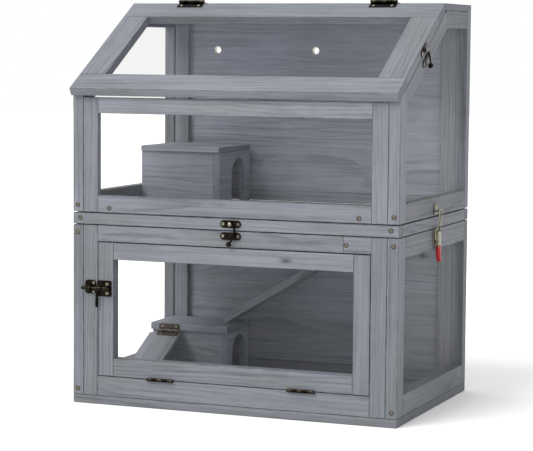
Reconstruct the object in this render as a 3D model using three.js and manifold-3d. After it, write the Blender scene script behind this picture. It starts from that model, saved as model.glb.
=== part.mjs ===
// Two-storey wooden hamster cage with clear panes, in millimetres, +Z up, front towards -Y.
// Origin: centre of the base board's underside.

import * as THREE from 'three';
import { mergeVertices } from 'three/addons/utils/BufferGeometryUtils.js';
import Module from 'manifold-3d';

const wasm = await Module();
wasm.setup();

// ---- Driving dimensions ----
const HALF_W = 300;            // half the outside width
const HALF_D = 201;            // half the outside depth
const BOARD = 20;              // thickness of the side frames, ring and lower front frame
const STILE = 28;              // width of the front and back stiles
const GAP = 0.3;               // assembly gap between neighbouring pieces
const PANE_T = 2.5;            // thickness of the clear panes

const BASE_T = 14.5;
const LOWER_Z0 = BASE_T + GAP;
const LOWER_Z1 = 315.5;
const RING_Z0 = 316.8;
const RING_Z1 = 336.5;
const FLOOR_Z0 = 324;
const FLOOR_Z1 = 334;
const UPPER_Z0 = 338.3;
const UPPER_FRONT_Z1 = 538.4;
const TOP_T = 12;
const TOP_Z1 = 705.7;
const TOP_Z0 = TOP_Z1 - TOP_T;
const SIDE_TOP_Z = 692.2;

const RIDGE_Y = 40.5;          // front edge of the flat top, where the lid starts
const SLOPE = THREE.MathUtils.degToRad(30.6);
const LID_LEN = 298.4;
const LID_T = 15;
const LID_FRAME_W = 49;

const SIDE_FRONT_STILE = 34;
const SIDE_BACK_STILE = 22;
const WINDOW_Y0 = -HALF_D + SIDE_FRONT_STILE;
const WINDOW_Y1 = HALF_D - SIDE_BACK_STILE;
const LOWER_WINDOW = [51, 280];
const UPPER_WINDOW = [371, 662.5];
const SLOPED_RAIL_W = 29;
const SIDE_PANE_RECESS = 8;

const DOOR_HALF_W = 251;
const DOOR_Z0 = 50.9;
const DOOR_Z1 = 286;
const DOOR_RAIL_TOP_Z = 49.9;  // top edge of the rail under the door
const DOOR_HOLE = [-222, 222, 82.5, 256.5];
const FRONT_RAIL_BOTTOM_Z = 287.5;

const HIDE_X0 = -HALF_W + BOARD + GAP;
const HIDE_X1 = -123;
const HIDE_Y1 = HALF_D - BOARD - 0.5;
const HIDE_WALL_T = 12;

const LONG_RAMP_SLOPE = THREE.MathUtils.degToRad(31);
const LONG_RAMP_T = 13;
const LONG_RAMP_Y = [116, HIDE_Y1];
const LOWER_HIDE_TOP = 108.4;
const LOWER_HIDE_FRONT = 76;
const UPPER_HIDE_TOP = 444;

const DOOR_HINGE_XS = [-130.5, 130.5];
const LID_HINGE_XS = [-182, 188];
const REAR_HINGE_XS = [-180, 180];
const DOOR_AXIS_Z = 50.4;
const DOOR_AXIS_Y = -HALF_D - 3.4;
const BOLT_Z = 205;
const BOLT_Y = -HALF_D - 6.6;
const FRONT_HOOK_Z = 327.6;
const LID_HOOK_Y = -81;
const LID_HOOK_TURN = THREE.MathUtils.degToRad(10);
const TOGGLE_Y = -3;

// ---- Materials ----
const wood = new THREE.MeshStandardMaterial({ color: 0x8f939c, roughness: 0.75, metalness: 0 });
const woodDark = new THREE.MeshStandardMaterial({ color: 0x6d7178, roughness: 0.8, metalness: 0 });
const acrylic = new THREE.MeshStandardMaterial({
  color: 0xf4f8f8, roughness: 0.05, metalness: 0, transparent: true, opacity: 0.2,
});
const blackMetal = new THREE.MeshStandardMaterial({ color: 0x1a1714, roughness: 0.45, metalness: 0.8 });
const bronze = new THREE.MeshStandardMaterial({ color: 0x4b443f, roughness: 0.5, metalness: 0.8 });
const zinc = new THREE.MeshStandardMaterial({ color: 0xb4b09c, roughness: 0.35, metalness: 0.9 });

const cage = new THREE.Group();

// ---- Solid helpers ----
function toManifold(geometry) {
  const bare = geometry.clone();
  bare.deleteAttribute('normal');
  bare.deleteAttribute('uv');
  const merged = mergeVertices(bare, 1e-4);
  return new wasm.Manifold(new wasm.Mesh({
    numProp: 3,
    vertProperties: Float32Array.from(merged.attributes.position.array),
    triVerts: Uint32Array.from(merged.index.array),
  }));
}

function toGeometry(manifold) {
  const mesh = manifold.getMesh();
  const geometry = new THREE.BufferGeometry();
  geometry.setAttribute('position', new THREE.BufferAttribute(Float32Array.from(mesh.vertProperties), 3));
  geometry.setIndex(new THREE.BufferAttribute(Uint32Array.from(mesh.triVerts), 1));
  geometry.computeVertexNormals();
  return geometry;
}

function join(parts) {
  return toGeometry(parts.map(toManifold).reduce((a, b) => a.add(b)));
}

function cut(body, tools) {
  return toGeometry(tools.map(toManifold).reduce((a, b) => a.subtract(b), toManifold(body)));
}

// A box from its limits along each axis.
function block([x0, x1], [y0, y1], [z0, z1]) {
  const geometry = new THREE.BoxGeometry(x1 - x0, y1 - y0, z1 - z0);
  return geometry.translate((x0 + x1) / 2, (y0 + y1) / 2, (z0 + z1) / 2);
}

// A cylinder of radius r along one axis ('x', 'y' or 'z'), centred on a point.
function rod(axis, r, length, [x, y, z], sides = 20) {
  const geometry = new THREE.CylinderGeometry(r, r, length, sides);
  if (axis === 'x') geometry.rotateZ(Math.PI / 2);
  if (axis === 'z') geometry.rotateX(Math.PI / 2);
  return geometry.translate(x, y, z);
}

function polygon(points) {
  return new THREE.Shape(points.map(([a, b]) => new THREE.Vector2(a, b)));
}

function extrude(shape, depth) {
  return new THREE.ExtrudeGeometry(shape, { depth, bevelEnabled: false, curveSegments: 16 });
}

// Extrudes a (y, z) shape along +X from x0.
function alongX(shape, x0, length) {
  const turn = new THREE.Matrix4().makeBasis(
    new THREE.Vector3(0, 1, 0), new THREE.Vector3(0, 0, 1), new THREE.Vector3(1, 0, 0));
  return extrude(shape, length).applyMatrix4(turn).translate(x0, 0, 0);
}

// Extrudes an (x, z) shape towards the front, from y1 to y1 - length.
function alongY(shape, y1, length) {
  const turn = new THREE.Matrix4().makeBasis(
    new THREE.Vector3(1, 0, 0), new THREE.Vector3(0, 0, 1), new THREE.Vector3(0, -1, 0));
  return extrude(shape, length).applyMatrix4(turn).translate(0, y1, 0);
}

function rectangle(a0, a1, b0, b1) {
  return polygon([[a0, b0], [a1, b0], [a1, b1], [a0, b1]]);
}

function withHole(outer, hole) {
  outer.holes.push(hole);
  return outer;
}

function add(name, geometry, material, parent = cage) {
  const mesh = new THREE.Mesh(geometry, material);
  mesh.name = name;
  parent.add(mesh);
  return mesh;
}

function mirrorX(geometry) {
  const flipped = geometry.clone().scale(-1, 1, 1);
  const index = flipped.index
    ? flipped.index.array
    : Uint32Array.from({ length: flipped.attributes.position.count }, (_, i) => i);
  const swapped = Uint32Array.from(index);
  for (let i = 0; i < swapped.length; i += 3) {
    [swapped[i + 1], swapped[i + 2]] = [swapped[i + 2], swapped[i + 1]];
  }
  flipped.setIndex(new THREE.BufferAttribute(swapped, 1));
  return flipped;
}

function addPair(name, rightGeometry, material, parent = cage) {
  add(`${name}_right`, rightGeometry, material, parent);
  add(`${name}_left`, mirrorX(rightGeometry), material, parent);
}

// Height of the lid's underside above a given depth y.
function lidUnderZ(y) {
  return TOP_Z1 - (RIDGE_Y - y) * Math.tan(SLOPE) - LID_T / Math.cos(SLOPE);
}

// ---- Butt hinges ----
// The pin runs along X. Each leaf is a plate of thickness t whose back lies h under the pin's axis,
// on one side (side = 1 or -1 along Y). The first leaf carries the pin and the end knuckles.
const KNUCKLES = 5;

function hingeLeaf({ length, barrel, leafWidth, t, h, side, own, pin }) {
  const step = length / KNUCKLES;
  const free = 0.15;
  const plateStart = barrel + 0.5;
  const reach = (u0, u1) => (side > 0 ? [u0, u1] : [-u1, -u0]);
  const parts = [block([-length / 2, length / 2], reach(plateStart, leafWidth), [-h, -h + t])];
  for (const k of own) {
    const x0 = -length / 2 + k * step + free;
    const x1 = x0 + step - 2 * free;
    parts.push(block([x0, x1], reach(0, plateStart + 0.5), [-h, -h + t]));
    parts.push(rod('x', barrel, x1 - x0, [(x0 + x1) / 2, 0, 0]));
  }
  let leaf = join(parts);
  const pinR = barrel * 0.4;
  if (pin) {
    leaf = join([leaf, rod('x', pinR, length - 1, [0, 0, 0], 12)]);
  } else {
    leaf = cut(leaf, [rod('x', pinR + 0.35, length + 2, [0, 0, 0], 12)]);
  }
  return leaf;
}

function addHinge(names, size, place, angles) {
  const fixed = hingeLeaf({ ...size, side: 1, own: [0, 2, 4], pin: true }).rotateX(angles.fixed);
  const moving = hingeLeaf({ ...size, side: -1, own: [1, 3], pin: false }).rotateX(angles.moving);
  add(names.fixed, fixed.translate(...place), size.material);
  add(names.moving, moving.translate(...place), size.material);
}

const BIG_HINGE = { length: 50, barrel: 3, leafWidth: 16, t: 1.2, h: 3.2, material: blackMetal };
const DOOR_HINGE = { length: 50, barrel: 3, leafWidth: 17, t: 0.8, h: 0.9, material: blackMetal };
const HIDE_HINGE = { length: 42, barrel: 2.2, leafWidth: 13, t: 1, h: 2.5, material: bronze };

// ---- Swing-hook latch ----
// Built facing +Z in its own plane: X to the right, Y towards the pivot plate, origin at the pivot.
const HOOK_PLATE = { halfLength: 19, halfHeight: 6.5, back: GAP, face: 1.8 };
const HOOK_DROP = 20.6;        // from the pivot down to the middle of the catch plate
const HOOK_OUT = 3.9;          // the hook wire's distance from the board at its eye
const KNOB_OUT = 6.2;          // and at its knob

function latchPlate(y) {
  const { halfLength, halfHeight, back, face } = HOOK_PLATE;
  const shape = new THREE.Shape();
  const straight = halfLength - halfHeight;
  shape.moveTo(-straight, -halfHeight);
  shape.lineTo(straight, -halfHeight);
  shape.absarc(straight, 0, halfHeight, -Math.PI / 2, Math.PI / 2, false);
  shape.lineTo(-straight, halfHeight);
  shape.absarc(-straight, 0, halfHeight, Math.PI / 2, Math.PI * 1.5, false);
  return extrude(shape, face - back).translate(0, y, back);
}

function hookPivotPlate() {
  return join([
    latchPlate(0),
    rod('z', 1.8, 6, [0, 0, 4]),
    rod('z', 3.2, 1.4, [0, 0, 6.6]),
  ]);
}

function hookCatchPlate() {
  return join([latchPlate(-HOOK_DROP), rod('z', 2.6, 1, [0, -HOOK_DROP, 1.5])]);
}

function hookWire(turn) {
  const path = new THREE.CatmullRomCurve3([
    [3.4, -0.8, 0], [6.6, -5, 0], [8, -12, 0.1], [7.2, -20, 0.4], [3.4, -28, 0.8], [-0.8, -33, 1],
  ].map(([x, y, share]) => new THREE.Vector3(x, y, HOOK_OUT + share * (KNOB_OUT - HOOK_OUT))));
  const section = new THREE.Shape();
  section.absarc(0, 0, 1.5, 0, Math.PI * 2, false);
  const wire = new THREE.ExtrudeGeometry(section, { steps: 24, extrudePath: path, curveSegments: 5 });
  const eye = new THREE.LatheGeometry(
    [[2.2, -1.1], [4.2, -1.1], [4.2, 1.1], [2.2, 1.1], [2.2, -1.1]].map((p) => new THREE.Vector2(...p)), 20);
  eye.rotateX(Math.PI / 2).translate(0, 0, HOOK_OUT);
  const knob = new THREE.SphereGeometry(3.9, 16, 10).translate(-1.4, -34, KNOB_OUT);
  return join([wire, eye, knob]).rotateZ(turn);
}

function latchPlacement(right, up, out, origin) {
  return new THREE.Matrix4().makeBasis(right, up, out).setPosition(origin);
}

// ---- Base and lower storey ----
function buildLowerStorey() {
  add('base_board', block([-HALF_W, HALF_W], [-HALF_D, HALF_D], [0, BASE_T]), wood);

  const innerX = HALF_W - BOARD - GAP;
  const backFace = HALF_D - BOARD;
  const doorHole = rectangle(-HALF_W + BOARD + STILE, HALF_W - BOARD - STILE,
    DOOR_RAIL_TOP_Z, FRONT_RAIL_BOTTOM_Z);
  const front = alongY(
    withHole(rectangle(-innerX, innerX, LOWER_Z0, LOWER_Z1), doorHole), -HALF_D + BOARD, BOARD);
  add('lower_front_frame', cut(front, DOOR_HINGE_XS.map((x) => leafPocket(x, -1))), wood);

  const sideShape = withHole(
    rectangle(-HALF_D, HALF_D, LOWER_Z0, LOWER_Z1), rectangle(WINDOW_Y0, WINDOW_Y1, ...LOWER_WINDOW));
  addPair('lower_side_frame', alongX(sideShape, HALF_W - BOARD, BOARD), wood);
  const paneX = HALF_W - SIDE_PANE_RECESS - PANE_T;
  addPair('lower_side_pane', block([paneX, paneX + PANE_T],
    [WINDOW_Y0 + GAP, WINDOW_Y1 - GAP],
    [LOWER_WINDOW[0] + GAP, LOWER_WINDOW[1] - GAP]), acrylic);

  // The back wall is a frame with its boarding set back behind the inner face.
  const wall = block([-innerX, innerX], [backFace, HALF_D], [LOWER_Z0, LOWER_Z1]);
  const recess = block([-innerX + STILE, innerX - STILE], [backFace - 1, backFace + BOARD / 2],
    [LOWER_Z0 + BOARD, LOWER_Z1 - STILE]);
  add('lower_back_wall', cut(wall, [recess]), woodDark);
}

// ---- Drop-down door ----
// Shallow pocket for a hinge leaf, in the rail (side -1) or in the door's bottom edge (side 1).
function leafPocket(x, side) {
  const halfLength = DOOR_HINGE.length / 2 + 0.5;
  const yBack = DOOR_AXIS_Y + DOOR_HINGE.leafWidth + 0.5;
  const z = side > 0 ? [DOOR_AXIS_Z, DOOR_AXIS_Z + 1.2] : [DOOR_AXIS_Z - 1.2, DOOR_AXIS_Z];
  return block([x - halfLength, x + halfLength], [-HALF_D - 1, yBack], z);
}

function buildDoor() {
  const [hx0, hx1, hz0, hz1] = DOOR_HOLE;
  const outline = rectangle(-DOOR_HALF_W, DOOR_HALF_W, DOOR_Z0, DOOR_Z1);
  const frame = alongY(withHole(outline, rectangle(hx0, hx1, hz0, hz1)), -HALF_D + BOARD, BOARD);
  add('door_frame', cut(frame, DOOR_HINGE_XS.map((x) => leafPocket(x, 1))), wood);
  add('door_pane', block([hx0 + GAP, hx1 - GAP], [-HALF_D + BOARD - PANE_T - 3, -HALF_D + BOARD - 3],
    [hz0 + GAP, hz1 - GAP]), acrylic);
  DOOR_HINGE_XS.forEach((x, i) => {
    const end = i === 0 ? 'left' : 'right';
    addHinge({ fixed: `door_hinge_fixed_${end}`, moving: `door_hinge_leaf_${end}` },
      DOOR_HINGE, [x, DOOR_AXIS_Y, DOOR_AXIS_Z], { fixed: 0, moving: Math.PI });
  });

  // Barrel bolt: plate with a hooded guide that is open underneath for the handle.
  const plate = block([-252.4, -225], [-HALF_D - 1.8, -HALF_D - GAP], [191, 219]);
  const hood = new THREE.Shape();
  const outer = 4.8;
  const inner = 3.5;
  hood.moveTo(-HALF_D - 1, BOLT_Z + outer);
  hood.lineTo(BOLT_Y, BOLT_Z + outer);
  hood.absarc(BOLT_Y, BOLT_Z, outer, Math.PI / 2, Math.PI * 1.25, false);
  hood.absarc(BOLT_Y, BOLT_Z, inner, Math.PI * 1.25, Math.PI / 2, true);
  hood.lineTo(-HALF_D - 1, BOLT_Z + inner);
  const guide = cut(alongX(hood, -249, 22), [block([-260, -220], [-HALF_D - 0.9, 0], [190, 220])]);
  add('bolt_plate', join([plate, guide]), blackMetal);
  const slide = rod('x', 3, 54, [-254, BOLT_Y, BOLT_Z]);
  const stem = rod('z', 1.4, 14, [-251, BOLT_Y, BOLT_Z - 8], 12);
  const grip = new THREE.LatheGeometry(
    [[0, 0], [2.1, 0.4], [2.6, 4], [2.3, 14], [1.6, 18], [0, 18]].map((p) => new THREE.Vector2(...p)), 14);
  grip.rotateX(Math.PI / 2).translate(-251, BOLT_Y, 172);
  add('bolt_rod', join([slide, stem, grip]), blackMetal);

  // Keeper on the fixed stile: two cheeks over and under the bolt, open to the front.
  const keeperPlate = block([-276, -254.5], [-HALF_D - 1.8, -HALF_D - GAP], [195, 219]);
  const cheeks = [3.5, -4.9].map((dz) => block([-274, -258],
    [BOLT_Y - 3.5, -HALF_D - 1], [BOLT_Z + dz, BOLT_Z + dz + 1.4]));
  add('bolt_keeper', join([keeperPlate, ...cheeks]), blackMetal);
}

// ---- Front swing hook between ring and lower storey ----
function buildFrontHook() {
  const place = latchPlacement(new THREE.Vector3(1, 0, 0), new THREE.Vector3(0, 0, 1),
    new THREE.Vector3(0, -1, 0), new THREE.Vector3(0, -HALF_D, FRONT_HOOK_Z));
  add('front_hook_plate', hookPivotPlate().applyMatrix4(place), blackMetal);
  add('front_hook', hookWire(0).applyMatrix4(place), blackMetal);
  add('front_catch_plate', hookCatchPlate().applyMatrix4(place), blackMetal);
}

// ---- Side toggle latches, built for the right side with o = distance out from the board ----
const TOGGLE_PIVOT = { o: 6.5, z: 309 };
const BAIL_PIVOT = { o: 4.5, z: 298 };
const BAIL_R = 1.1;
// One leg of the wire bail as (across, out, z): straight past the lever, pinched in, then splayed again.
const BAIL_LEG = [[11.5, 4.5, 298], [11.5, 5, 314], [2.2, 9.8, 324], [8.6, 10.2, 349]];

// A round bar between two points, with a ball at each end so that bars meet in a closed joint.
function bar(p, q, r) {
  const [a, b] = [p, q].map((v) => new THREE.Vector3(...v));
  const along = new THREE.Vector3().subVectors(b, a);
  const stick = new THREE.CylinderGeometry(r, r, along.length(), 8);
  stick.applyQuaternion(new THREE.Quaternion().setFromUnitVectors(
    new THREE.Vector3(0, 1, 0), along.clone().normalize()));
  stick.translate(...a.clone().add(b).multiplyScalar(0.5).toArray());
  const balls = [a, b].map((v) => new THREE.SphereGeometry(r * 1.04, 8, 6).translate(...v.toArray()));
  return join([stick, ...balls]);
}

function buildToggles() {
  const at = (o) => HALF_W + o;
  const y = TOGGLE_Y;
  const pivot = [at(TOGGLE_PIVOT.o), y, TOGGLE_PIVOT.z];
  const ears = [-9.5, 8.3].map((dy) => block(
    [at(1), at(9.5)], [y + dy, y + dy + 1.2], [TOGGLE_PIVOT.z - 4.5, TOGGLE_PIVOT.z + 4.5]));
  addPair('toggle_base', join([
    block([at(GAP), at(1.8)], [y - 10, y + 10], [287, 315.2]),
    ...ears,
    rod('y', 1.5, 18, pivot, 16),
  ]), zinc);

  const flanges = [-6.8, 5.6].map((dy) => block([at(2.6), at(9)], [y + dy, y + dy + 1.2], [289, 309]));
  const hub = rod('y', 2.9, 15, pivot);
  const web = block([at(8.4), at(9.8)], [y - 6.8, y + 6.8], [283, 311]);
  const spine = new THREE.QuadraticBezierCurve(
    new THREE.Vector2(at(7.6), 288), new THREE.Vector2(at(7.2), 272), new THREE.Vector2(at(9.8), 260));
  const steps = 8;
  const half = 3;
  const edge = (sign) => Array.from({ length: steps + 1 }, (_, i) => {
    const p = spine.getPoint(i / steps);
    const d = spine.getTangent(i / steps);
    return [p.x - sign * half * d.y, p.y + sign * half * d.x];
  });
  const handle = alongY(polygon([...edge(1), ...edge(-1).reverse()]), y + 6, 12);
  const lever = cut(join([...flanges, hub, web, handle]), [
    rod('y', 1.9, 30, pivot, 16),
    rod('y', 1.5, 30, [at(BAIL_PIVOT.o), y, BAIL_PIVOT.z], 16),
  ]);
  addPair('toggle_lever', lever, zinc);

  const leg = (side) => BAIL_LEG.map(([across, o, z]) => [at(o), y + side * across, z]);
  const bars = [];
  for (const side of [-1, 1]) {
    const points = leg(side);
    points.slice(1).forEach((p, i) => bars.push(bar(points[i], p, BAIL_R)));
  }
  for (const i of [0, BAIL_LEG.length - 1]) {
    bars.push(bar(leg(-1)[i], leg(1)[i], BAIL_R));
  }
  addPair('toggle_bail', join(bars), zinc);

  addPair('toggle_keeper', join([
    block([at(GAP), at(1.8)], [y - 8, y + 8], [341, 359]),
    block([at(1), at(8.4)], [y - 5, y + 5], [345.5, 348.5]),
  ]), zinc);
}

// ---- Hide houses ----
function buildHides() {
  const wallX0 = HIDE_X1 - HIDE_WALL_T;
  const roofT = 12.9;
  const wallFront = LOWER_HIDE_FRONT + 8;
  const wallTop = LOWER_HIDE_TOP - roofT - GAP;
  add('hide_roof', block([HIDE_X0, HIDE_X1], [LOWER_HIDE_FRONT, HIDE_Y1],
    [LOWER_HIDE_TOP - roofT, LOWER_HIDE_TOP]), wood);
  add('hide_front_wall', block([HIDE_X0, wallX0 - GAP], [wallFront, wallFront + HIDE_WALL_T],
    [LOWER_Z0, wallTop]), wood);
  add('hide_arch_wall', archWall(wallX0, [wallFront - 6, HIDE_Y1], [LOWER_Z0, wallTop], 132, 30.5, 57), wood);

  // Upper hide on the upper floor, in the same corner.
  const upperRoofT = 10;
  const upperFront = 31;
  const upperBack = HIDE_Y1 - GAP;
  const wallY0 = upperFront + 3;
  const wallZ = [FLOOR_Z1 + GAP, UPPER_HIDE_TOP - upperRoofT - GAP];
  add('upper_hide_roof', block([HIDE_X0, HIDE_X1], [upperFront, upperBack],
    [UPPER_HIDE_TOP - upperRoofT, UPPER_HIDE_TOP]), wood);
  const frontWall = block([HIDE_X0, wallX0 + 1], [wallY0, wallY0 + HIDE_WALL_T], wallZ);
  const sideWall = archWall(wallX0, [wallY0, upperBack], wallZ, 125, 32, wallZ[0] + 55);
  add('upper_hide_walls', join([frontWall, sideWall]), wood);
}

// A wall facing +X with a round-topped doorway that is open at the bottom.
function archWall(x0, [y0, y1], [z0, z1], archY, archR, springZ) {
  const shape = new THREE.Shape();
  shape.moveTo(y0, z0);
  shape.lineTo(archY - archR, z0);
  shape.lineTo(archY - archR, springZ);
  shape.absarc(archY, springZ, archR, Math.PI, 0, true);
  shape.lineTo(archY + archR, z0);
  shape.lineTo(y1, z0);
  shape.lineTo(y1, z1);
  shape.lineTo(y0, z1);
  return alongX(shape, x0, HIDE_WALL_T);
}

// ---- Ramps ----
const HIDE_RAMP_X = [HIDE_X0 + 0.5, -217.5];
const HIDE_RAMP_SLOPE = THREE.MathUtils.degToRad(27);
const HIDE_AXIS = [LOWER_HIDE_FRONT - HIDE_HINGE.h, 94.6];

function buildRamps() {
  const hingeX = (HIDE_RAMP_X[0] + HIDE_RAMP_X[1]) / 2 + 7;
  addHinge({ fixed: 'hide_hinge_fixed', moving: 'hide_hinge_leaf' }, HIDE_HINGE,
    [hingeX, ...HIDE_AXIS], { fixed: Math.PI / 2, moving: HIDE_RAMP_SLOPE });
  const rampT = 9;
  const length = (HIDE_AXIS[1] - BASE_T - HIDE_HINGE.h - rampT - 0.5) / Math.sin(HIDE_RAMP_SLOPE);
  const board = block(HIDE_RAMP_X, [-length, -3.6], [-HIDE_HINGE.h - GAP - rampT, -HIDE_HINGE.h - GAP]);
  add('hide_ramp', board.rotateX(HIDE_RAMP_SLOPE).translate(0, ...HIDE_AXIS), wood);

  // Long ramp: square-cut lower end on the hide's roof, upper end cut upright under the floor opening.
  const [x0, z0] = [-146, LOWER_HIDE_TOP + GAP];
  const c = Math.cos(LONG_RAMP_SLOPE);
  const s = Math.sin(LONG_RAMP_SLOPE);
  const topStart = [x0 - LONG_RAMP_T * s, z0 + LONG_RAMP_T * c];
  const endX = topStart[0] + (FLOOR_Z1 - topStart[1]) * c / s;
  const underEnd = [endX, z0 + (endX - x0) * s / c];
  const outline = polygon([[x0, z0], underEnd, [endX, FLOOR_Z1], topStart]);
  add('long_ramp', alongY(outline, LONG_RAMP_Y[1], LONG_RAMP_Y[1] - LONG_RAMP_Y[0]), wood);
  return endX;
}

// ---- Ring and upper floor ----
function buildRing(rampEndX) {
  const outer = rectangle(-HALF_W, HALF_W, -HALF_D, HALF_D);
  const inner = rectangle(-HALF_W + BOARD, HALF_W - BOARD, -HALF_D + BOARD, HALF_D - BOARD);
  add('ring_frame', extrude(withHole(outer, inner), RING_Z1 - RING_Z0).translate(0, 0, RING_Z0), wood);
  const fx = HALF_W - BOARD - GAP;
  const fy = HALF_D - BOARD - GAP;
  const notchX = [90, rampEndX + 1];
  const notchY = LONG_RAMP_Y[0] - 4;
  const floor = polygon([
    [-fx, -fy], [fx, -fy], [fx, fy], [notchX[1], fy], [notchX[1], notchY],
    [notchX[0], notchY], [notchX[0], fy], [-fx, fy],
  ]);
  add('upper_floor', extrude(floor, FLOOR_Z1 - FLOOR_Z0).translate(0, 0, FLOOR_Z0), wood);
  const axis = [HALF_D + BIG_HINGE.h, (LOWER_Z1 + RING_Z0) / 2];
  REAR_HINGE_XS.forEach((x, i) => {
    const end = i === 0 ? 'left' : 'right';
    addHinge({ fixed: `rear_hinge_fixed_${end}`, moving: `rear_hinge_leaf_${end}` },
      BIG_HINGE, [x, ...axis], { fixed: -Math.PI / 2, moving: -Math.PI / 2 });
  });
}

// ---- Upper storey ----
const VENTS = [[-195, 621], [4, 621]];
const VENT_R = 8;
const UPPER_FRONT_T = 12;

function buildUpperStorey() {
  const innerX = HALF_W - BOARD - GAP;
  const backFace = HALF_D - BOARD;
  const openX = HALF_W - BOARD - STILE;
  const window = [367.5, 511];
  const yBack = -HALF_D + UPPER_FRONT_T;
  add('upper_front_frame', alongY(withHole(rectangle(-innerX, innerX, UPPER_Z0, UPPER_FRONT_Z1),
    rectangle(-openX, openX, ...window)), yBack, UPPER_FRONT_T), wood);
  add('upper_front_pane', block([-openX + GAP, openX - GAP], [yBack - PANE_T - 1, yBack - 1],
    [window[0] + GAP, window[1] - GAP]), acrylic);

  const slopeGap = 0.5;
  const edgeZ = (y) => lidUnderZ(y) - slopeGap;
  const slopeEndY = RIDGE_Y - (TOP_Z1 - LID_T / Math.cos(SLOPE) - slopeGap - SIDE_TOP_Z) / Math.tan(SLOPE);
  const railZ = (y) => edgeZ(y) - SLOPED_RAIL_W / Math.cos(SLOPE);
  const railEndY = WINDOW_Y0 + (UPPER_WINDOW[1] - railZ(WINDOW_Y0)) / Math.tan(SLOPE);
  const outline = polygon([
    [-HALF_D, UPPER_Z0], [HALF_D, UPPER_Z0], [HALF_D, SIDE_TOP_Z],
    [slopeEndY, SIDE_TOP_Z], [-HALF_D, edgeZ(-HALF_D)],
  ]);
  const windowPoints = (inset) => [
    [WINDOW_Y0 + inset, UPPER_WINDOW[0] + inset], [WINDOW_Y1 - inset, UPPER_WINDOW[0] + inset],
    [WINDOW_Y1 - inset, UPPER_WINDOW[1] - inset], [railEndY + inset * 0.3, UPPER_WINDOW[1] - inset],
    [WINDOW_Y0 + inset, railZ(WINDOW_Y0) - inset],
  ];
  addPair('upper_side_frame',
    alongX(withHole(outline, polygon(windowPoints(0))), HALF_W - BOARD, BOARD), wood);
  addPair('upper_side_pane',
    alongX(polygon(windowPoints(GAP)), HALF_W - SIDE_PANE_RECESS - PANE_T, PANE_T), acrylic);

  const wall = block([-innerX, innerX], [backFace, HALF_D], [UPPER_Z0, SIDE_TOP_Z]);
  const recess = block([-innerX + STILE, innerX - STILE], [backFace - 1, backFace + BOARD / 2],
    [UPPER_Z0 + BOARD, SIDE_TOP_Z - BOARD]);
  const vents = VENTS.map(([x, z]) => rod('y', VENT_R, 60, [x, HALF_D, z], 24));
  add('upper_back_wall', cut(wall, [recess, ...vents]), woodDark);

  add('top_board', block([-HALF_W, HALF_W], [RIDGE_Y, HALF_D], [TOP_Z0, TOP_Z1]), wood);
  add('top_cross_rail', block([-innerX, innerX], [RIDGE_Y + 8, RIDGE_Y + 8 + BOARD],
    [TOP_Z0 - GAP - 22, TOP_Z0 - GAP]), wood);
}

// ---- Sloped lid, built lying flat with its hinge edge along X, then tilted at the ridge ----
function buildLid() {
  const tilt = (geometry) => geometry.rotateX(SLOPE).translate(0, RIDGE_Y, TOP_Z1);
  const holeX = HALF_W - LID_FRAME_W;
  const outline = rectangle(-HALF_W, HALF_W, -LID_LEN, 12);
  const hole = rectangle(-holeX, holeX, -LID_LEN + LID_FRAME_W, -LID_FRAME_W);
  const board = tilt(extrude(withHole(outline, hole), LID_T).translate(0, 0, -LID_T));
  const beyondRidge = block([-HALF_W - 1, HALF_W + 1], [RIDGE_Y - GAP, RIDGE_Y + 40],
    [TOP_Z1 - 40, TOP_Z1 + 40]);
  add('lid_frame', cut(board, [beyondRidge]), wood);
  add('lid_pane', tilt(block([-holeX + GAP, holeX - GAP],
    [-LID_LEN + LID_FRAME_W + GAP, -LID_FRAME_W - GAP], [-12, -12 + PANE_T])), acrylic);

  const lift = BIG_HINGE.h / Math.cos(SLOPE / 2);
  const axis = [RIDGE_Y - lift * Math.sin(SLOPE / 2), TOP_Z1 + lift * Math.cos(SLOPE / 2)];
  LID_HINGE_XS.forEach((x, i) => {
    const end = i === 0 ? 'left' : 'right';
    addHinge({ fixed: `lid_hinge_fixed_${end}`, moving: `lid_hinge_leaf_${end}` },
      BIG_HINGE, [x, ...axis], { fixed: 0, moving: SLOPE });
  });

  // Swing hook on the lid's right edge, catching a plate on the sloped side rail.
  const edgeZ = lidUnderZ(LID_HOOK_Y) + LID_T / 2 / Math.cos(SLOPE);
  const place = latchPlacement(
    new THREE.Vector3(0, Math.cos(SLOPE), Math.sin(SLOPE)),
    new THREE.Vector3(0, -Math.sin(SLOPE), Math.cos(SLOPE)),
    new THREE.Vector3(1, 0, 0), new THREE.Vector3(HALF_W, LID_HOOK_Y, edgeZ));
  add('lid_hook_plate', hookPivotPlate().applyMatrix4(place), blackMetal);
  add('lid_hook', hookWire(LID_HOOK_TURN).applyMatrix4(place), blackMetal);
  add('lid_catch_plate', hookCatchPlate().applyMatrix4(place), blackMetal);
}

buildLowerStorey();
buildDoor();
buildFrontHook();
buildToggles();
buildHides();
buildRing(buildRamps());
buildUpperStorey();
buildLid();

export default cage;
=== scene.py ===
# Two-storey wooden hamster cage: visible boards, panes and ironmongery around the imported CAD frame.
import random
from math import copysign, cos, pi, radians, sin, tan, tau

import bmesh
import bpy
from mathutils import Matrix, Vector


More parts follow.
